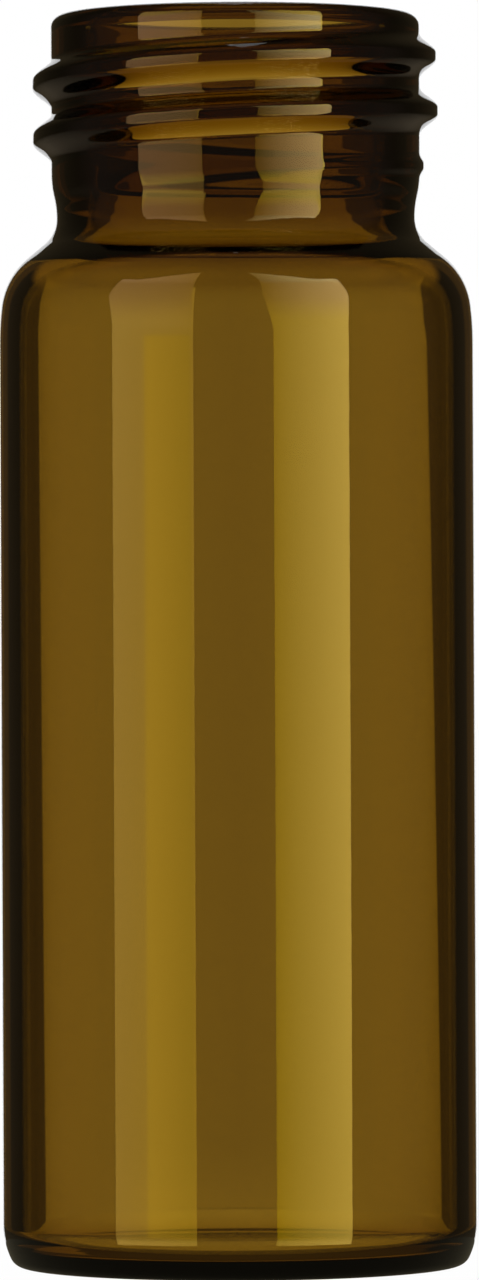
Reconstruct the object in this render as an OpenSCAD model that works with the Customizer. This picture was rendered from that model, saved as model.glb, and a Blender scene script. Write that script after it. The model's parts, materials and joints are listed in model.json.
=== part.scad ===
// Screw-neck sample vial, formed from one piece of amber glass.
// Millimetres. The origin is the middle of the base, and +Z runs up the axis to the rim.

/* [Body] */
// Height from the base to the rim
total_h = 72.5; // [60:0.5:110]
// Outside diameter of the body
body_d = 27.5; // [22.9:0.1:33]
// Thickness of the body wall
body_wall = 1.15; // [0.9:0.01:1.6]
// Thickness of the floor where it meets the wall
floor_t = 1.1; // [0.9:0.05:2.5]
// Radius of the heel, where the outside turns into the base
heel_r = 0.85; // [0.5:0.05:1.5]
// Radius of the long curve that eases the body wall into the heel
heel_ease_r = 4.8; // [3:0.1:7]
// Angle that the long curve turns through before the heel
heel_ease = 25; // [10:1:35]
// Radius of the inside corner between the wall and the floor
floor_corner_r = 1.3; // [0.5:0.05:2]
// Rise of the push-up in the middle of the base
push_up_h = 0.2; // [0.1:0.05:0.4]
// Width of the flat ring that the vial stands on
foot_w = 3.3; // [1.5:0.1:4]

/* [Shoulder] */
// Outside radius of the rounded shoulder
shoulder_r = 4.3; // [3:0.1:5.5]
// Radius of the long curve that eases the body wall into the shoulder
shoulder_ease_r = 18; // [12:0.5:25]
// Angle that the long curve turns through before the shoulder
shoulder_ease = 7; // [3:0.5:10]
// Lean of the straight slope between the shoulder and the hollow: the angle that its outward
// normal makes with the level
shoulder_slope = 50; // [40:1:60]
// Outside radius of the hollow between the shoulder and the neck
hollow_r = 1.9; // [1.5:0.1:3]
// Lean of the slope inside, measured in the same way
throat_slope = 60; // [50:1:62]
// Radius of the lip inside, where the shoulder turns up into the bore
throat_r = 3.8; // [3:0.1:4.2]

/* [Neck] */
// Diameter of the neck at the root of the thread
neck_d = 21.4; // [17.8:0.1:22]
// Thickness of the neck wall at the root of the thread
neck_wall = 2; // [1.9:0.05:2.4]
// Depth of the waist below the thread
waist_depth = 0.3; // [0.1:0.05:0.5]
// Radius of the two curves that blend the waist into the neck above it
waist_blend_r = 5.6; // [3:0.1:7]
// Outside rounding of the rim
rim_outer_r = 0.7; // [0.4:0.05:0.85]
// Inside rounding of the rim
rim_inner_r = 0.95; // [0.3:0.05:1]

/* [Thread] */
// Distance between the turns of the single right-hand thread
thread_pitch = 3.175; // [2.8:0.005:3.81]
// Height of the thread's crest above the neck
thread_h = 1.07; // [0.6:0.01:1.3]
// Width of the thread where it leaves the neck
thread_w = 2.64; // [2:0.02:2.7]
// Shape of the crest: 2 is a parabola, and a higher power is flatter with steeper flanks
crest_power = 2.3; // [1.8:0.1:4]
// Distance from the rim down to the upper end of the thread
rim_to_thread = 1.15; // [1.1:0.01:3]
// Distance from the lower end of the thread down to the narrowest part of the waist
thread_to_waist = 2.23; // [2.1:0.01:5]
// Full-height length of the thread, in turns
thread_turns = 1.35; // [0.8:0.01:2]
// Length of the fade at the upper end, in turns
fade_in_turns = 0.5; // [0.2:0.05:1]
// Length of the fade at the lower end, in turns
fade_out_turns = 0.8; // [0.2:0.05:1]

/* [Hidden] */
glass_colour = "#7a5a18";
// Facets in a full circle
$fn = 128;
// Overshoot that lets one shape pass cleanly through the face of another
over = 1;
// How far one strip of the section reaches into the next one, where that stays inside both
lap = 0.5;

// Thread. A place along it is an angle in turns, 0 where the top turn crosses the +X side.
full_top = -0.1;
thread_top = full_top + fade_in_turns;
thread_low = full_top - thread_turns - fade_out_turns;
thread_z = total_h - rim_to_thread - thread_top * thread_pitch;
thread_steps = 144;
flank_points = 10;
// How far the ridge reaches into the neck wall, and how far a faded end lies under it
thread_root = neck_wall / 4;
thread_bury = 0.06;
// Share of its full width that the ridge still has where it has faded away
end_width = 0.4;

// Body
body_r = body_d / 2;
cavity_r = body_r - body_wall;
// Centres of the heel's two arcs, as points of the half section
heel_c = [body_r - heel_ease_r + (heel_ease_r - heel_r) * cos(heel_ease), heel_r];
heel_ease_c = polar(heel_c, heel_r - heel_ease_r, -heel_ease);
push_up_r = heel_c.x - foot_w;
dish_r = (pow(push_up_r, 2) + pow(push_up_h, 2)) / (2 * push_up_h);

// Neck
neck_r = neck_d / 2;
bore_r = neck_r - neck_wall;
waist_r = neck_r - waist_depth;
waist_z = thread_z + thread_low * thread_pitch - thread_to_waist;
// Height of the S-curve that two equal arcs make between the waist and the neck
waist_blend_h = sqrt(4 * waist_blend_r * waist_depth - pow(waist_depth, 2));
blend_low_c = [waist_r + waist_blend_r, waist_z];
blend_top_c = [neck_r - waist_blend_r, waist_z + waist_blend_h];

// Centres of the shoulder's arcs. The inner and the outer shoulder share their centres, so
// that the wall is even there. The hollow and the throat lie across a slope from them.
ease_x = body_r - shoulder_ease_r;
shoulder_x = ease_x + (shoulder_ease_r - shoulder_r) * cos(shoulder_ease);
hollow_c = [waist_r + hollow_r, waist_z];
hollow_lean = lean(shoulder_slope, hollow_c.x - shoulder_x, shoulder_r + hollow_r);
shoulder_z = waist_z - height_over(hollow_c.x - shoulder_x, shoulder_r + hollow_r, hollow_lean);
shoulder_c = [shoulder_x, shoulder_z];
ease_c = polar(shoulder_c, shoulder_r - shoulder_ease_r, shoulder_ease);
inner_shoulder_r = shoulder_r - body_wall;
throat_x = bore_r + throat_r;
throat_lean = lean(throat_slope, throat_x - shoulder_x, inner_shoulder_r + throat_r);
throat_c = [throat_x, shoulder_z
    + height_over(throat_x - shoulder_x, inner_shoulder_r + throat_r, throat_lean)];

// Point at the distance r from c, in the direction a
function polar(c, r, a) = c + r * [cos(a), sin(a)];

// Lean of a slope that touches two arcs on its two sides. The arcs' centres are side apart
// across, and their radii add up to radii. Where the arcs would meet at a smaller angle than
// the wanted one, they join directly and the slope has no length.
function lean(wanted, side, radii) = min(wanted, acos(side / radii));

// Height between the centres of those two arcs
function height_over(side, radii, a) = (radii - side * cos(a)) / sin(a);

// Smooth step from 0 to 1
function ease(t) = let (c = min(1, max(0, t))) c * c * (3 - 2 * c);

// Share of the thread's full height at a turn t: 1 in the middle, 0 at both ends
function fade(t) = ease((thread_top - t) / fade_in_turns) * ease((t - thread_low) / fade_out_turns);

// One section of the ridge at turn t: its outer curve, then the two corners in the wall
function thread_section(t) =
    let (
        z = thread_z + t * thread_pitch,
        lift = (thread_h + thread_bury) * fade(t),
        half_w = thread_w / 2 * (end_width + (1 - end_width) * fade(t)),
        outer = [for (i = [0 : flank_points])
            let (u = 2 * i / flank_points - 1)
            [neck_r - thread_bury + lift * (1 - pow(abs(u), crest_power)), z + u * half_w]],
        corners = [[neck_r - thread_root, z + half_w], [neck_r - thread_root, z - half_w]]
    )
    [for (p = concat(outer, corners)) [p[0] * cos(360 * t), p[0] * sin(360 * t), p[1]]];

// Strip of the half section from the axis out to r, between two heights
module column(r, low, top) {
    translate([0, low])
        square([r, top - low]);
}

// What rounding takes off a square corner, with the air on the given sides of it
module round_off(corner, r, air_x, air_z) {
    translate(corner)
        mirror([air_x < 0 ? 1 : 0, 0])
            mirror([0, air_z < 0 ? 1 : 0])
                difference() {
                    translate([-r, -r])
                        square(r + over);
                    translate([-r, -r])
                        circle(r);
                }
}

// Strip bounded by an arc that bulges outwards
module bulge(c, r, low, top) {
    intersection() {
        column(c.x + r, low, top);
        union() {
            translate(c)
                circle(r);
            if (c.x > 0)
                column(c.x, low, top);
        }
    }
}

// Strip bounded by an arc that bulges inwards, from the level low up to its centre
module hollow_strip(c, r, low, top) {
    difference() {
        column(c.x, low, top);
        translate(c)
            circle(r);
    }
}

// Shoulder: a long easing arc, the shoulder's own arc, the slope, and a hollow arc above it.
// The first two bulge by thin less than the outside of the glass does.
module shoulder_profile(thin, a, top_c, top_r) {
    ease_end = polar(ease_c, shoulder_ease_r - thin, shoulder_ease);
    slope_low = polar(shoulder_c, shoulder_r - thin, a);
    slope_top = polar(top_c, -top_r, a);
    slope_end = polar(slope_top, lap, a + 90);
    bulge(ease_c, shoulder_ease_r - thin, ease_c.y - lap, ease_end.y);
    bulge(shoulder_c, shoulder_r - thin, ease_end.y - lap, slope_low.y + lap);
    polygon([[0, slope_low.y], slope_low, slope_end, [0, slope_end.y]]);
    hollow_strip(top_c, top_r, slope_top.y, top_c.y);
}

// Outside of the glass, filled to the axis
module outer_profile() {
    heel_top = polar(heel_c, heel_r, -heel_ease).y;
    waist_mid = waist_z + waist_blend_h / 2;
    difference() {
        union() {
            bulge(heel_c, heel_r, 0, heel_top + lap);
            bulge(heel_ease_c, heel_ease_r, heel_top, heel_ease_c.y + lap);
            column(body_r, heel_ease_c.y, ease_c.y);
            shoulder_profile(0, hollow_lean, hollow_c, hollow_r);
            hollow_strip(blend_low_c, waist_blend_r, waist_z - lap, waist_mid);
            bulge(blend_top_c, waist_blend_r, waist_mid - lap, blend_top_c.y + lap);
            column(neck_r, blend_top_c.y, total_h);
        }
        round_off([neck_r, total_h], rim_outer_r, 1, 1);
        translate([0, push_up_h - dish_r])
            circle(dish_r);
    }
}

// Space inside the glass, filled to the axis
module cavity_profile() {
    difference() {
        column(cavity_r, floor_t, ease_c.y);
        round_off([cavity_r, floor_t], floor_corner_r, 1, -1);
    }
    shoulder_profile(body_wall, throat_lean, throat_c, throat_r);
    column(bore_r, throat_c.y - lap, total_h + over);
    round_off([bore_r, total_h], rim_inner_r, -1, 1);
}

// The blown wall, floor, shoulder and neck, turned about the axis
module glass_wall() {
    rotate_extrude()
        difference() {
            outer_profile();
            cavity_profile();
        }
}

// The raised thread: one ridge that winds down the neck and fades at both ends
module thread() {
    size = flank_points + 3;
    points = [for (k = [0 : thread_steps])
        each thread_section(thread_low + (thread_top - thread_low) * k / thread_steps)];
    sides = [for (k = [0 : thread_steps - 1]) for (i = [0 : size - 1])
        let (a = k * size, b = a + size, j = (i + 1) % size)
        each [[a + i, a + j, b + j], [a + i, b + j, b + i]]];
    // Each end face starts at a corner in the wall, so that its triangles have some width
    low_end = [for (i = [size - 1 : -1 : 0]) i];
    top_end = [for (i = [0 : size - 1]) thread_steps * size + (i + size - 1) % size];
    polyhedron(points, concat(sides, [low_end, top_end]));
}

module vial() {
    color(glass_colour)
        union() {
            glass_wall();
            thread();
        }
}

vial();
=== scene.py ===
# %% [markdown]
# # An amber glass sample vial
#
# A screw-neck vial is blown from one gob or one length of tube of amber glass, so it is one
# piece: a thin cylinder with a floor at one end and, at the other, a rounded shoulder, a thick
# neck and a raised thread. Nothing on the glass is painted, but a dark disc under the base is
# painted shadow that the heel mirrors. Everything else the eye sees is light that has been bent,
# mirrored and filtered by the wall, so the lesson is about three things: the true shape of both
# sides of the wall, glass that swallows light with depth, and what stands round the vial for the
# glass to show.

import json
import math

import bpy
import numpy as np
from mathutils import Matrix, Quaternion, Vector


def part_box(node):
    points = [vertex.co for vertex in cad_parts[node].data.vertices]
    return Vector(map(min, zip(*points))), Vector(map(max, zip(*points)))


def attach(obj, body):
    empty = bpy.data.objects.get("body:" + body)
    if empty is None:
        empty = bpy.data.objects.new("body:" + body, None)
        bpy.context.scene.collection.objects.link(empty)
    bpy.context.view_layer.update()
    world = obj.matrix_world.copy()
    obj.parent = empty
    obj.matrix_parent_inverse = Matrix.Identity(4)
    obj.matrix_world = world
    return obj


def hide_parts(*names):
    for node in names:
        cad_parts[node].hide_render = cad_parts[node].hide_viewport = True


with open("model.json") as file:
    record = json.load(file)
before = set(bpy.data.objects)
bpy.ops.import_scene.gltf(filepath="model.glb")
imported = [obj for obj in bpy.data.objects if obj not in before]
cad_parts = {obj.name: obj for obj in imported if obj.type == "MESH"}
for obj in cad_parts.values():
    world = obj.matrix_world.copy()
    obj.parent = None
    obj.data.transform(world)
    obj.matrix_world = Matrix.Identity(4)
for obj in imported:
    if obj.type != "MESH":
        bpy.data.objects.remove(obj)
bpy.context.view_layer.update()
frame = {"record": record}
vial_low, vial_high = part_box("vial")

MM = 0.001
HEIGHT = vial_high.z / MM
BODY_R = (vial_high.x - vial_low.x) / 2 / MM
mounts = {mount["name"]: mount for mount in frame["record"]["mounts"]}
BORE_R = mounts["neck_bore"]["dims"]["r_mm"]
print(f"vial {HEIGHT:.2f} mm high, body radius {BODY_R:.2f} mm, bore radius {BORE_R:.2f} mm")

# %% [markdown]
# ## The camera
#
# A small thing is best seen from some way off with a long lens, so that the cylinder's two
# sides stay parallel. The camera stands half way up the vial, which is why we see the rim from
# a little below and the base from a little above. The lens follows from two sizes: how far the
# camera stands, and how much height the picture takes in at the vial's axis.

# %% Camera
CAMERA_FAR = 485
CAMERA_HIGH = 34.8
VIEW_HIGH = 74.25
AIM = Vector((0.11, 0, 36.25))
LEAN = 0.25

camera_data = bpy.data.cameras.new("camera")
camera = bpy.data.objects.new("camera", camera_data)
bpy.context.scene.collection.objects.link(camera)
bpy.context.scene.camera = camera
camera_data.lens = camera_data.sensor_width * CAMERA_FAR / VIEW_HIGH
camera_data.clip_start = 0.01
camera_data.clip_end = 20
camera_at = Vector((AIM.x, -CAMERA_FAR, CAMERA_HIGH))
looking = (AIM - camera_at).normalized()
roll = Quaternion(looking, math.radians(LEAN))
camera.location = camera_at * MM
camera.rotation_mode = "QUATERNION"
camera.rotation_quaternion = roll @ looking.to_track_quat("-Z", "Y")
print(f"lens {camera_data.lens:.0f} mm at {CAMERA_FAR} mm")

# %% [markdown]
# ## The half section
#
# The wall of a turned or blown thing is one closed outline carried round an axis. It could be
# drawn as a curve and spun, but a list of straight lines and arcs, each one tangent to the
# next, says exactly what the glass does: a push-up under the base, a heel, the body, a
# shoulder, a hollow, a waist, the neck and a rim, and then back down the inside. Radii are in
# millimetres. Arcs of glass bend light strongly, so they get many more rows than the straight
# stretches do.

# %% Sizes of the section
PUSH_UP_R = 9.23
PUSH_UP_H = 0.2
HEEL_R = 0.85
HEEL_EASE_R = 4.8
HEEL_EASE = 25
FLOOR_T = 1.0
FLOOR_CORNER_R = 1.3
FLOOR_EASE_R = 12
FLOOR_EASE = 10
WALL = 1.15
SHOULDER_EASE_R = 18.0
SHOULDER_EASE = 7
SHOULDER_R = 4.3
SLOPE = 50
HOLLOW_R = 1.9
INNER_SLOPE = 60
THROAT_R = 3.8
NECK_R = 10.7
WAIST_R = 10.4
WAIST_Z = 60.706
BLEND_R = 5.6
RIM_OUTER_R = 0.7
RIM_INNER_R = 0.95
CLOSE = 0.05


def polar(centre, radius, degrees):
    """Point at a distance and an angle from centre."""
    angle = math.radians(degrees)
    return np.array(centre) + radius * np.array([math.cos(angle), math.sin(angle)])


def line(start, end, rows):
    """Points from start towards end: start + s (end - start), with s in even steps below 1.

    Two more points lie CLOSE to the ends, so that smooth shading doesn't carry an arc's
    curvature far into the flat.
    """
    start, end = np.array(start), np.array(end)
    near = CLOSE / np.linalg.norm(end - start)
    s = np.sort(np.concatenate([np.arange(rows) / rows, [near, 1 - near]]))[:, None]
    return start + s * (end - start)


def arc(centre, radius, start, end, rows):
    """Points round centre: angle start + s (end - start) degrees, with s in even steps below 1."""
    angle = np.radians(start + (end - start) * np.arange(rows) / rows)
    return np.array(centre) + radius * np.stack([np.cos(angle), np.sin(angle)], axis=1)


# %% Centres of the arcs, each one tangent to the next
dish_r = (PUSH_UP_R**2 + PUSH_UP_H**2) / (2 * PUSH_UP_H)
dish_c = (0, PUSH_UP_H - dish_r)
dish_edge = math.degrees(math.acos(PUSH_UP_R / dish_r))
heel_ease_c = np.array([BODY_R - HEEL_EASE_R, 0])
heel_c = polar(heel_ease_c, HEEL_EASE_R - HEEL_R, -HEEL_EASE)
heel_ease_c[1] = HEEL_R - heel_c[1]
heel_c[1] = HEEL_R

hollow_c = np.array([WAIST_R + HOLLOW_R, WAIST_Z])
ease_c = np.array([BODY_R - SHOULDER_EASE_R, 0])
shoulder_c = polar(ease_c, SHOULDER_EASE_R - SHOULDER_R, SHOULDER_EASE)


def height_over(across, apart, degrees):
    """Height between the centres of two arcs that lie on both sides of a slope and touch it.

    Their distance along the slope's normal is the sum of their radii:
    across cos(slope) + height sin(slope) = apart.
    """
    slope = math.radians(degrees)
    return (apart - across * math.cos(slope)) / math.sin(slope)


shoulder_z = WAIST_Z - height_over(hollow_c[0] - shoulder_c[0], SHOULDER_R + HOLLOW_R, SLOPE)
ease_c[1] = shoulder_z - shoulder_c[1]
shoulder_c[1] = shoulder_z
throat_x = BORE_R + THROAT_R
inner_r = SHOULDER_R - WALL
throat_c = (throat_x, shoulder_z + height_over(throat_x - shoulder_c[0], inner_r + THROAT_R, INNER_SLOPE))

blend_half = math.degrees(math.acos(1 - (NECK_R - WAIST_R) / (2 * BLEND_R)))
waist_c = (WAIST_R + BLEND_R, WAIST_Z)
neck_c = polar(waist_c, 2 * BLEND_R, 180 - blend_half)
rim_c = (NECK_R - RIM_OUTER_R, HEIGHT - RIM_OUTER_R)
lip_c = (BORE_R + RIM_INNER_R, HEIGHT - RIM_INNER_R)
floor_ease_c = np.array([0, FLOOR_T + FLOOR_EASE_R])
corner_c = polar(floor_ease_c, FLOOR_EASE_R - FLOOR_CORNER_R, FLOOR_EASE - 90)
floor_ease_c[0] = BODY_R - WALL - FLOOR_CORNER_R - corner_c[0]
corner_c[0] = BODY_R - WALL - FLOOR_CORNER_R
print("shoulder", shoulder_c, "throat", throat_c, "ease", ease_c, "heel", heel_c, heel_ease_c)

# %% The outline, from the middle of the base up the outside and down the inside
outside = np.concatenate([
    arc(dish_c, dish_r, 90, dish_edge, 10),
    line((PUSH_UP_R, 0), (heel_c[0], 0), 4),
    arc(heel_c, HEEL_R, -90, -HEEL_EASE, 14),
    arc(heel_ease_c, HEEL_EASE_R, -HEEL_EASE, 0, 10),
    line((BODY_R, heel_ease_c[1]), (BODY_R, ease_c[1]), 12),
    arc(ease_c, SHOULDER_EASE_R, 0, SHOULDER_EASE, 6),
    arc(shoulder_c, SHOULDER_R, SHOULDER_EASE, SLOPE, 16),
    line(polar(shoulder_c, SHOULDER_R, SLOPE), polar(hollow_c, HOLLOW_R, SLOPE + 180), 6),
    arc(hollow_c, HOLLOW_R, SLOPE + 180, 180, 14),
    arc(waist_c, BLEND_R, 180, 180 - blend_half, 10),
    arc(neck_c, BLEND_R, -blend_half, 0, 10),
    line((NECK_R, neck_c[1]), (NECK_R, rim_c[1]), 84),
    arc(rim_c, RIM_OUTER_R, 0, 90, 9),
    line((rim_c[0], HEIGHT), (lip_c[0], HEIGHT), 3),
])
inside = np.concatenate([
    arc(lip_c, RIM_INNER_R, 90, 180, 8),
    line((BORE_R, lip_c[1]), (BORE_R, throat_c[1]), 12),
    arc(throat_c, THROAT_R, 180, INNER_SLOPE + 180, 20),
    line(polar(throat_c, THROAT_R, INNER_SLOPE + 180), polar(shoulder_c, inner_r, INNER_SLOPE), 2),
    arc(shoulder_c, inner_r, INNER_SLOPE, SHOULDER_EASE, 18),
    arc(ease_c, SHOULDER_EASE_R - WALL, SHOULDER_EASE, 0, 6),
    line((BODY_R - WALL, ease_c[1]), (BODY_R - WALL, corner_c[1]), 12),
    arc(corner_c, FLOOR_CORNER_R, 0, FLOOR_EASE - 90, 20),
    arc(floor_ease_c, FLOOR_EASE_R, FLOOR_EASE - 90, -90, 8),
    line((floor_ease_c[0], FLOOR_T), (0, FLOOR_T), 10),
    np.array([[0, FLOOR_T]]),
])
outline = np.concatenate([outside, inside])
print(f"{len(outline)} rows")

# %% [markdown]
# ## The thread
#
# The raised thread is part of the wall: one ridge that climbs a pitch in each turn and fades
# away at both ends. It could be a swept solid joined to the neck, but a join would leave a
# wall of glass inside the glass, and light would show it. Pushing the neck's own surface
# outwards keeps one skin.

# %% Thread height at a place on the neck
PITCH = 3.175
THREAD_H = 1.07
THREAD_HALF_W = 1.38
FULL_TOP = -0.1
FULL_TURNS = 1.35
FADE_IN = 0.5
FADE_OUT = 0.8
THREAD_TOP = FULL_TOP + FADE_IN
THREAD_LOW = FULL_TOP - FULL_TURNS - FADE_OUT
RIM_TO_THREAD = 1.15
THREAD_Z = HEIGHT - RIM_TO_THREAD - THREAD_TOP * PITCH
FLANK = 0.85
END_WIDTH = 0.4


def ease(t):
    """Smooth step: 3 t squared less 2 t cubed, with t held between 0 and 1."""
    t = np.clip(t, 0, 1)
    return t * t * (3 - 2 * t)


def thread_height(z, turn):
    """Height of the ridge at height z and azimuth turn (0 to 1, 0 on the +X side).

    Each whole turn k has its crest at THREAD_Z + (turn + k) PITCH. The height there is
    THREAD_H times the fade of that turn, times a smooth step of the distance from the crest.
    """
    height = np.zeros(np.broadcast(z, turn).shape)
    for k in range(math.floor(THREAD_LOW), math.ceil(THREAD_TOP)):
        t = turn + k
        fade = ease((THREAD_TOP - t) / FADE_IN) * ease((t - THREAD_LOW) / FADE_OUT)
        half_w = THREAD_HALF_W * (END_WIDTH + (1 - END_WIDTH) * fade)
        away = np.abs(z - THREAD_Z - t * PITCH) / half_w
        height += THREAD_H * fade * ease((1 - away) / FLANK)
    return height


# %% [markdown]
# ## One skin
#
# The outline is carried round the axis on a grid of rows and columns. Every row but the first
# and the last is a ring; those two are single points, closed with fans of triangles.

# %% Build the surface
COLUMNS = 256


def row_normals(rows):
    """Unit normals of the outline: its tangent, from the points on both sides, turned by 90 degrees."""
    tangent = np.gradient(rows, axis=0)
    tangent /= np.linalg.norm(tangent, axis=1)[:, None]
    return np.stack([tangent[:, 1], -tangent[:, 0]], axis=1)


def skin(rows, swell):
    """Points of the surface: (r cos a, r sin a, z), where (r, z) is the row's point moved by
    swell along its normal and a is the column's angle."""
    angle = 2 * np.pi * np.arange(COLUMNS) / COLUMNS
    normal = row_normals(rows)
    r = rows[:, :1] + normal[:, :1] * swell
    z = rows[:, 1:] + normal[:, 1:] * swell
    return np.stack([r * np.cos(angle), r * np.sin(angle), z], axis=2)


def close_skin(points):
    """Vertices and faces of a closed surface: rings of quads, and a fan at each end."""
    rings = points[1:-1]
    count = len(rings)
    vertices = np.concatenate([rings.reshape(-1, 3), points[0, :1], points[-1, :1]])
    here = np.arange(COLUMNS)
    after = np.roll(here, -1)
    start = COLUMNS * np.arange(count - 1)[:, None]
    quads = np.stack([start + here, start + after, start + COLUMNS + after,
                      start + COLUMNS + here], axis=2).reshape(-1, 4)
    low = np.stack([np.full(COLUMNS, count * COLUMNS), after, here], axis=1)
    last = COLUMNS * (count - 1)
    top = np.stack([np.full(COLUMNS, count * COLUMNS + 1), last + here, last + after], axis=1)
    return vertices, quads.tolist() + low.tolist() + top.tolist()


turn = np.arange(COLUMNS) / COLUMNS
swell = np.zeros((len(outline), COLUMNS))
on_neck = np.arange(len(outline)) < len(outside)
on_neck &= outline[:, 1] > WAIST_Z
on_neck &= outline[:, 0] > rim_c[0]
swell[on_neck] = thread_height(outline[on_neck, 1:], turn)
vertices, faces = close_skin(skin(outline, swell))

mesh = bpy.data.meshes.new("glass_wall")
mesh.from_pydata((vertices * MM).tolist(), [], faces)
mesh.polygons.foreach_set("use_smooth", np.ones(len(faces), dtype=bool))
mesh.update()
glass_wall = bpy.data.objects.new("glass_wall", mesh)
bpy.context.scene.collection.objects.link(glass_wall)
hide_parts("vial")
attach(glass_wall, "root")
print(f"glass_wall: {len(vertices)} points, {len(faces)} faces")

# %% [markdown]
# ## Amber glass
#
# Amber glass is clear glass coloured right through by iron and sulphur. Its surface has no
# colour of its own. It could be given a brown base colour, but then a thin rim and a thick
# heel would look the same. Volume absorption makes each millimetre of path darker, most of
# all in blue, so the wall is honey yellow where light crosses it squarely and almost black
# where light runs along it.

# %% Helpers for materials


def linear(code):
    """Linear colour of an sRGB hex code: c / 12.92 for dark values, ((c + 0.055) / 1.055) ** 2.4 above."""
    parts = [int(code[i:i + 2], 16) / 255 for i in (1, 3, 5)]
    return [c / 12.92 if c <= 0.04045 else ((c + 0.055) / 1.055) ** 2.4 for c in parts] + [1]


def add_node(tree, kind, inputs=None, **settings):
    """Adds a node, applies its settings, and fills or links each input by its name or number."""
    node = tree.nodes.new(kind)
    for key, value in settings.items():
        setattr(node, key, value)
    for key, value in (inputs or {}).items():
        if isinstance(value, bpy.types.NodeSocket):
            tree.links.new(value, node.inputs[key])
        else:
            node.inputs[key].default_value = value
    return node


def new_tree(owner):
    """Turns on an owner's nodes and empties them."""
    owner.use_nodes = True
    owner.node_tree.nodes.clear()
    return owner.node_tree


# %% [markdown]
# A drawn or blown skin is fire-polished: mirror smooth, but not quite flat. It keeps faint waves
# that run with the draw, a millimetre or two apart and tens of millimetres long, and handling
# leaves a trace of haze. Both are patterns of the surface, so they are made with noise in
# the vial's own coordinates, with scales in real sizes. The waves could be modelled, but a few
# ten-thousandths of a millimetre are far below the mesh.

# %% Amber container glass
WAVE_W = 1.8
WAVE_LONG = 45
WAVE_H = 0.0012
HAZE_W = 7
HAZE = 0.03
GLASS_IOR = 1.52
AMBER_TINT = linear("#d4c027")
AMBER_DEPTH = 2200.0

amber = bpy.data.materials.new("amber_container_glass")
tree = new_tree(amber)
place = add_node(tree, "ShaderNodeTexCoord").outputs["Object"]
drawn = add_node(tree, "ShaderNodeMapping", {"Vector": place, "Scale": (
    1 / (WAVE_W * MM), 1 / (WAVE_W * MM), 1 / (WAVE_LONG * MM))})
waves = add_node(tree, "ShaderNodeTexNoise", {"Vector": drawn.outputs[0], "Scale": 1.0, "Detail": 1.0})
relief = add_node(tree, "ShaderNodeBump", {
    "Height": waves.outputs[0], "Strength": 1.0, "Distance": WAVE_H * MM})
smudges = add_node(tree, "ShaderNodeTexNoise", {
    "Vector": place, "Scale": 1 / (HAZE_W * MM), "Detail": 3.0})
haze = add_node(tree, "ShaderNodeMapRange", {
    0: smudges.outputs[0], 1: 0.5, 2: 0.85, 3: 0.0, 4: HAZE})
glass = add_node(tree, "ShaderNodeBsdfPrincipled", {
    "Base Color": (1, 1, 1, 1),
    "Roughness": haze.outputs[0],
    "IOR": GLASS_IOR,
    "Transmission Weight": 1.0,
    "Normal": relief.outputs[0],
})
depth = add_node(tree, "ShaderNodeVolumeAbsorption", {
    "Color": AMBER_TINT,
    "Density": AMBER_DEPTH,
})
add_node(tree, "ShaderNodeOutputMaterial", {
    "Surface": glass.outputs["BSDF"],
    "Volume": depth.outputs["Volume"],
})
mesh.materials.append(amber)
print(f"{amber.name}: waves {WAVE_W} mm wide, haze up to {HAZE}")

# %% [markdown]
# ## What stands round the glass
#
# Glass shows its surroundings, so they are part of its look. Behind the vial hangs a lit
# panel just wider than the vial seems to need: rays through the middle of the wall reach it,
# and rays that the edges bend further fall off it, which draws the dark edges. The panel could
# be a mesh, but a ring of them drawn in the world needs only a ray's direction.
#
# This isn't plain light. The front panel is brighter than white towards its sides, is tinted,
# and has edges that lean, all chosen for the front view. Rays that go through the glass and
# rays that mirror off it are also given different surroundings. The other panels are plain.
# Angles are in degrees, and levels are linear, with 1 for white.

# %% Light tent: levels and angles
PANEL_LOW = -12.0
PANEL_HIGH = 11.6
PANELS = ((0, -28, 24), (-45, -42, -12), (-90, -12, 6), (135, -32, -6))
LEAN_LEFT = 0.19
LEAN_RIGHT = 0.62
SKIRT = 22.5
DIM = 0.35
DARK = 0.03
FLOOR_GLOW = 0.25
CEILING = 1.3
CEILING_LOW = 22
CEILING_HIGH = 60
CEILING_HALF = 60
CENTRE = (0.87, 0.87, 0.72, 1)
EDGE = (1.42, 1.55, 1.5, 1)
LOW_EDGE = (1.2, 1.25, 1.05, 1)
SURROUND = (0.12, 0.085, 0.06, 1)
BEHIND = (0.05, 0.038, 0.02, 1)
BEHIND_LOW = (0.15, 0.12, 0.08, 1)
PLAIN = 0.8

print(f"{len(PANELS)} panels, each from {PANEL_LOW} to {PANEL_HIGH} degrees")

# %% Light tent: the direction that a ray leaves in
world = bpy.data.worlds.new("light_tent")
bpy.context.scene.world = world
tree = new_tree(world)
coords = add_node(tree, "ShaderNodeTexCoord")
split = add_node(tree, "ShaderNodeSeparateXYZ", {0: coords.outputs["Generated"]})
azimuth = add_node(tree, "ShaderNodeMath", {0: split.outputs["X"], 1: split.outputs["Y"]},
                   operation="ARCTAN2")
azimuth = add_node(tree, "ShaderNodeMath", {0: azimuth.outputs[0]}, operation="DEGREES")
azimuth = azimuth.outputs[0]
elevation = add_node(tree, "ShaderNodeMath", {0: split.outputs["Z"]}, operation="ARCSINE")
elevation = add_node(tree, "ShaderNodeMath", {0: elevation.outputs[0]}, operation="DEGREES")
elevation = elevation.outputs[0]


def window(tree, value, low, high, soft):
    """1 where value is between low and high, 0 outside, with an edge soft wide at each end."""
    up = add_node(tree, "ShaderNodeMapRange", {0: value, 1: low - soft / 2, 2: low + soft / 2},
                  interpolation_type="SMOOTHSTEP")
    down = add_node(tree, "ShaderNodeMapRange", {0: value, 1: high + soft / 2, 2: high - soft / 2},
                    interpolation_type="SMOOTHSTEP")
    both = add_node(tree, "ShaderNodeMath", {0: up.outputs[0], 1: down.outputs[0]},
                    operation="MULTIPLY")
    return both.outputs[0]


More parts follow.
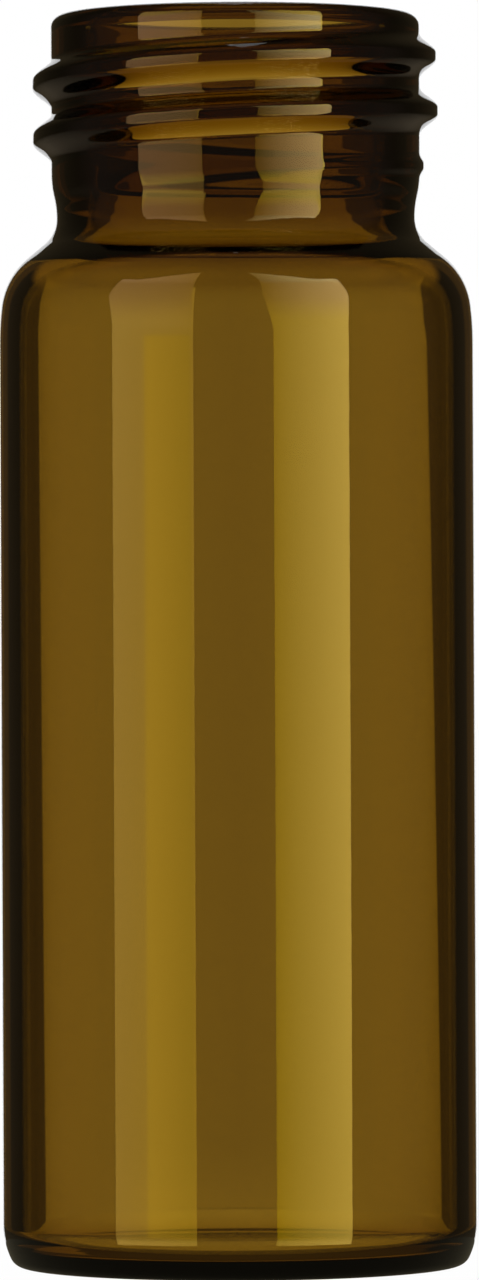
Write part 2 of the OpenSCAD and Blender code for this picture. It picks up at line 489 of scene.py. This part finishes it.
def blend(tree, share, first, second):
    """Colour that goes from first to second as share goes from 0 to 1."""
    mix = add_node(tree, "ShaderNodeMix", {0: share, 6: first, 7: second}, data_type="RGBA")
    return mix.outputs[2]


def grey(value):
    """Neutral colour of a given level."""
    return (value, value, value, 1)


# %% Light tent: panels seen through the glass
lean = add_node(tree, "ShaderNodeClamp", {0: elevation, 1: -4.5, 2: 3}).outputs[0]
lean_by = add_node(tree, "ShaderNodeMapRange", {
    0: azimuth, 1: -10, 2: 10, 3: LEAN_LEFT, 4: LEAN_RIGHT})
leaning = add_node(tree, "ShaderNodeMath", {0: lean, 1: lean_by.outputs[0], 2: azimuth},
                   operation="MULTIPLY_ADD").outputs[0]
off_middle = add_node(tree, "ShaderNodeMath", {0: azimuth}, operation="ABSOLUTE")
off_middle = add_node(tree, "ShaderNodeMapRange", {0: off_middle.outputs[0], 1: 0, 2: 9})
panel_tone = blend(tree, off_middle.outputs[0], CENTRE, EDGE)
nearer_floor = add_node(tree, "ShaderNodeMapRange", {0: elevation, 1: -3.3, 2: -4.3}).outputs[0]
panel_tone = blend(tree, nearer_floor, panel_tone, LOW_EDGE)
above_floor = window(tree, elevation, -28, 100, 8)
seen_through = blend(tree, above_floor, grey(FLOOR_GLOW), grey(DARK))
for middle, lowest, highest in PANELS:
    tone = panel_tone if middle == 0 else grey(1.0)
    upright = window(tree, elevation, lowest, highest, 4)
    skirt = window(tree, azimuth, middle - SKIRT, middle + SKIRT, 4)
    skirt = add_node(tree, "ShaderNodeMath", {0: skirt, 1: upright}, operation="MULTIPLY")
    seen_through = blend(tree, skirt.outputs[0], seen_through, grey(DIM))
    panel = window(tree, leaning, middle + PANEL_LOW, middle + PANEL_HIGH, 0.6)
    panel = add_node(tree, "ShaderNodeMath", {0: panel, 1: upright}, operation="MULTIPLY")
    seen_through = blend(tree, panel.outputs[0], seen_through, tone)
ceiling = window(tree, elevation, CEILING_LOW, CEILING_HIGH, 6)
overhead = window(tree, azimuth, -CEILING_HALF, CEILING_HALF, 20)
overhead = add_node(tree, "ShaderNodeMath", {0: overhead, 1: ceiling}, operation="MULTIPLY")
seen_through = blend(tree, overhead.outputs[0], seen_through, grey(CEILING))

# %% Light tent: what mirror rays see, and which ray sees what
behind = window(tree, azimuth, -75, 75, 30)
downwards = add_node(tree, "ShaderNodeMapRange", {0: elevation, 1: -6, 2: -20}).outputs[0]
mirrored = blend(tree, behind, SURROUND, blend(tree, downwards, BEHIND, BEHIND_LOW))
mirrored = blend(tree, window(tree, azimuth, PANEL_LOW, PANEL_HIGH, 0.6), mirrored, grey(1.0))
light_path = add_node(tree, "ShaderNodeLightPath")
colour = blend(tree, light_path.outputs["Is Glossy Ray"], grey(PLAIN), mirrored)
colour = blend(tree, light_path.outputs["Is Transmission Ray"], colour, seen_through)
colour = blend(tree, light_path.outputs["Is Camera Ray"], colour, grey(1.0))
background = add_node(tree, "ShaderNodeBackground", {"Color": colour, "Strength": 1.0})
add_node(tree, "ShaderNodeOutputWorld", {"Surface": background.outputs[0]})
print(f"{world.name}: {len(tree.nodes)} nodes")

# %% [markdown]
# Two tall softboxes stand in front, left and right. Each one is mirrored in the glass as an
# upright strip. The body sees a wide lamp a long way off. The neck and the shoulder lean and see
# more of what is near them, so each side also has a small curved reflector near the neck.
#
# Only mirror rays see these lamps. An area light would be simpler, but a mesh can have a colour
# that changes up and across it.

# %% Lamp shapes
BOX_FAR = 3000
BOX_LOW = -2400
BOX_HIGH = 1800
REFLECTOR_COLUMNS = 13


def strip_lamp(name, places, across):
    """A lamp from a grid of places in millimetres and each place's share of the way across it."""
    rows, columns = len(places), len(places[0])
    corner = np.arange((rows - 1) * columns).reshape(rows - 1, columns)[:, :-1].ravel()
    faces = np.stack([corner, corner + 1, corner + columns + 1, corner + columns], axis=1)
    lamp_mesh = bpy.data.meshes.new(name)
    lamp_mesh.from_pydata((np.array(places).reshape(-1, 3) * MM).tolist(), [], faces.tolist())
    uv = lamp_mesh.uv_layers.new(name="across")
    share = np.tile(across, rows)[faces.ravel()]
    uv.data.foreach_set("uv", np.stack([share, np.full(len(share), 0.5)], axis=1).ravel())
    lamp = bpy.data.objects.new(name, lamp_mesh)
    bpy.context.scene.collection.objects.link(lamp)
    lamp.visible_camera = False
    lamp.visible_diffuse = False
    lamp.visible_transmission = False
    lamp.visible_shadow = False
    return lamp


def place_round(degrees, far, height):
    """Place at an angle round the axis, measured from the camera's side."""
    turn = math.radians(degrees)
    return (far * math.sin(turn), -far * math.cos(turn), height)


def far_box(name, inner, outer):
    """Flat lamp at BOX_FAR, facing the axis, between two angles."""
    middle = (inner + outer) / 2
    far = [BOX_FAR / math.cos(math.radians(angle - middle)) for angle in (inner, outer)]
    places = [[place_round(angle, out, height) for angle, out in zip((inner, outer), far)]
              for height in (BOX_LOW, BOX_HIGH)]
    return strip_lamp(name, places, np.array([0, 1]))


def near_reflector(name, rows):
    """Curved lamp. Each row has a radius, an inner angle, an outer one, and the heights from the
    inner edge to the outer one."""
    share = np.linspace(0, 1, REFLECTOR_COLUMNS)
    places = []
    for far, inner, outer, heights in rows:
        up = np.interp(share, np.linspace(0, 1, len(heights)), heights)
        places.append([place_round(inner + (outer - inner) * s, far, z) for s, z in zip(share, up)])
    return strip_lamp(name, places, share)


# %% [markdown]
# A real softbox has a white cloth. These are amber, and brighter than white. A mirror image off
# the outer skin keeps the lamp's own colour, and the strips here are wanted in the colour of the
# glass, as if their light had been through it. A truer way would be to find which wall
# mirrors the lamp. The price of the tint shows from behind: at a grazing angle glass mirrors
# nearly everything, and a lamp on the far side draws a bright yellow line along the edge.

# %% Lamp cloth
PATCH_LOW = -300
PATCH_HIGH = 200


def cloth(name, rows, power, patch):
    """Lamp cloth. Each row has a height, a colour at the inner edge and one at the outer edge;
    heights between two rows get a blend of both. Across, the colour follows the share of the
    way raised to a power. The patch is a second pair of colours, and the two shares across that
    they lie between."""
    material = bpy.data.materials.new(name)
    tree = new_tree(material)
    place = add_node(tree, "ShaderNodeTexCoord")
    across = add_node(tree, "ShaderNodeSeparateXYZ", {0: place.outputs["UV"]}).outputs["X"]
    up = add_node(tree, "ShaderNodeSeparateXYZ", {0: place.outputs["Object"]}).outputs["Z"]
    curve = add_node(tree, "ShaderNodeMath", {0: across, 1: power}, operation="POWER").outputs[0]
    tone = None
    for height, inner, outer in rows:
        row = blend(tree, curve, inner, outer)
        if tone is not None:
            share = add_node(tree, "ShaderNodeMapRange", {0: up, 1: below * MM, 2: height * MM})
            row = blend(tree, share.outputs[0], tone, row)
        tone = row
        below = height
    if patch:
        inner, outer, first, last = patch
        inside = window(tree, across, first, last, 0.05)
        share = add_node(tree, "ShaderNodeMapRange", {0: across, 1: first, 2: last})
        colour = blend(tree, share.outputs[0], inner, outer)
        upright = window(tree, up, PATCH_LOW * MM, PATCH_HIGH * MM, 0.1)
        inside = add_node(tree, "ShaderNodeMath", {0: inside, 1: upright}, operation="MULTIPLY")
        tone = blend(tree, inside.outputs[0], tone, colour)
    glow = add_node(tree, "ShaderNodeEmission", {"Color": tone, "Strength": 1.0})
    add_node(tree, "ShaderNodeOutputMaterial", {"Surface": glow.outputs[0]})
    return material


# %% Lamp colours, each at the inner edge and at the outer edge
LEFT_BODY = ((2.8, 1.75, 0.1, 1), (2.7, 1.7, 0.3, 1))
RIGHT_BODY = ((2.3, 1.55, 0.0, 1), (5.6, 4.0, 0.6, 1))
LEFT_FOOT = ((2.8, 2.0, 0.3, 1), (4.0, 2.7, 0.6, 1))
RIGHT_FOOT = ((2.8, 2.1, 0.3, 1), (6.0, 4.4, 0.9, 1))
LEFT_TOP = ((2.4, 1.5, 0.2, 1), (3.0, 2.0, 0.5, 1))
RIGHT_TOP = ((2.4, 1.6, 0.1, 1), (6.8, 4.9, 1.0, 1))
LEFT_NECK = ((1.4, 0.8, 0.2, 1), (1.9, 1.15, 0.5, 1))
RIGHT_NECK = ((1.1, 0.65, 0.1, 1), (6.0, 4.1, 1.6, 1))
LEFT_HIGH = ((2.0, 1.15, 0.25, 1), (2.4, 1.5, 0.8, 1))
RIGHT_HIGH = ((1.2, 0.9, 0.3, 1), (6.5, 5.3, 2.4, 1))

LEFT_PATCH = ((2.5, 1.6, 0.1, 1), (3.9, 2.4, 0.2, 1), 0.04, 0.585)

# %% The two softboxes far in front
left_box = far_box("left_softbox", -20.7, -62.2)
left_box.data.materials.append(cloth("left_cloth", [
    (-1000, *LEFT_NECK), (-840, *LEFT_FOOT), (-600, *LEFT_FOOT), (-300, *LEFT_BODY),
    (200, *LEFT_TOP)], 1, LEFT_PATCH))
right_box = far_box("right_softbox", 17.75, 55.8)
right_box.data.materials.append(cloth("right_cloth", [
    (-1000, *RIGHT_NECK), (-840, *RIGHT_FOOT), (-600, *RIGHT_FOOT), (-300, *RIGHT_BODY),
    (200, *RIGHT_TOP)], 1, None))
print(f"softboxes at {BOX_FAR} mm, from {BOX_LOW} to {BOX_HIGH} mm high")

# %% The two reflectors near the neck
left_card = near_reflector("left_card", [
    (33, -16.2, -49.4, (55.6, 55.6)), (33, -17.5, -53, (62, 62)), (33, -17.5, -53, (74, 74)),
    (33, -17.5, -53, (84, 70))])
left_card.data.materials.append(cloth("left_card", [
    (57, *LEFT_TOP), (61, *LEFT_NECK), (70, *LEFT_NECK), (73, *LEFT_HIGH)], 0.5, None))
right_card = near_reflector("right_card", [
    (33, 14, 44.4, (55.6, 55.6)), (33, 10.3, 46, (62, 62)), (33, 10.3, 46, (74, 74)),
    (33, 6, 46, (84, 70))])
right_card.data.materials.append(cloth("right_card", [
    (57, *RIGHT_TOP), (61, *RIGHT_NECK), (70, *RIGHT_NECK), (73, *RIGHT_HIGH)], 1.1, None))
print("reflectors:", left_card.name, right_card.name)

# %% [markdown]
# ## The floor and the shade
#
# The floor is a matt white card. Seen directly it glows almost white, so that it joins the
# background, and the small matt share keeps the vial's shadow. Under the base lies a dark disc
# that only mirror rays see. It is a painted shadow: a sheet that glows dark grey in place of the
# shade on the floor round the base, and the heel mirrors it. It is no part of the real thing: it
# keeps the lamps' strips from running down into the heel.

# %% Floor
FLOOR_HALF = 4.0
FLOOR_DROP = 0.00001
CARD_GLOW = 0.985
floor_mesh = bpy.data.meshes.new("floor")
floor_mesh.from_pydata([(-FLOOR_HALF, -FLOOR_HALF, 0), (FLOOR_HALF, -FLOOR_HALF, 0),
                        (FLOOR_HALF, FLOOR_HALF, 0), (-FLOOR_HALF, FLOOR_HALF, 0)], [], [(0, 1, 2, 3)])
floor = bpy.data.objects.new("floor", floor_mesh)
bpy.context.scene.collection.objects.link(floor)
floor.location.z = -FLOOR_DROP
floor.visible_glossy = False
floor.visible_transmission = False
card = bpy.data.materials.new("white_card")
tree = new_tree(card)
light_path = add_node(tree, "ShaderNodeLightPath")
matte = add_node(tree, "ShaderNodeBsdfDiffuse", {"Color": linear("#e7e7e7")})
glow = add_node(tree, "ShaderNodeEmission", {"Color": (1, 1, 1, 1), "Strength": 1.0})
share = add_node(tree, "ShaderNodeMath", {
    0: light_path.outputs["Is Camera Ray"], 1: CARD_GLOW}, operation="MULTIPLY")
mixed = add_node(tree, "ShaderNodeMixShader", {
    0: share.outputs[0], 1: matte.outputs[0], 2: glow.outputs[0]})
add_node(tree, "ShaderNodeOutputMaterial", {"Surface": mixed.outputs[0]})
floor_mesh.materials.append(card)
print("floor", 2 * FLOOR_HALF, "m across")

# %% Shade
SHADE_R = 21
SHADE_DROP = 0.005
SPOKES = 64
spokes = 2 * np.pi * np.arange(SPOKES) / SPOKES
rim = np.stack([SHADE_R * np.cos(spokes), SHADE_R * np.sin(spokes),
                np.full(SPOKES, -SHADE_DROP)], axis=1)
shade_mesh = bpy.data.meshes.new("shade")
shade_mesh.from_pydata((rim * MM).tolist(), [], [list(range(SPOKES))])
shade = bpy.data.objects.new("shade", shade_mesh)
bpy.context.scene.collection.objects.link(shade)
shade.visible_camera = False
shade.visible_diffuse = False
shade.visible_transmission = False
shade.visible_shadow = False
# The disc's dark grey glow is painted shadow: the heel mirrors it as the floor's shade under the vial.
painted_shadow = bpy.data.materials.new("dark_felt")
tree = new_tree(painted_shadow)
glow = add_node(tree, "ShaderNodeEmission", {"Color": linear("#504b3c"), "Strength": 1.0})
add_node(tree, "ShaderNodeOutputMaterial", {"Surface": glow.outputs[0]})
shade_mesh.materials.append(painted_shadow)
print("shade", SHADE_R, "mm radius")

# %% [markdown]
# ## Settings
#
# Light crosses four skins of glass and is thrown back and forth between them, so the renderer
# needs many bounces. Too few would leave the thick neck and heel black.

# %% Render settings
scene = bpy.context.scene
scene.view_settings.view_transform = "Standard"
scene.cycles.max_bounces = 32
scene.cycles.transmission_bounces = 32
scene.cycles.glossy_bounces = 16
print("bounces", scene.cycles.max_bounces)
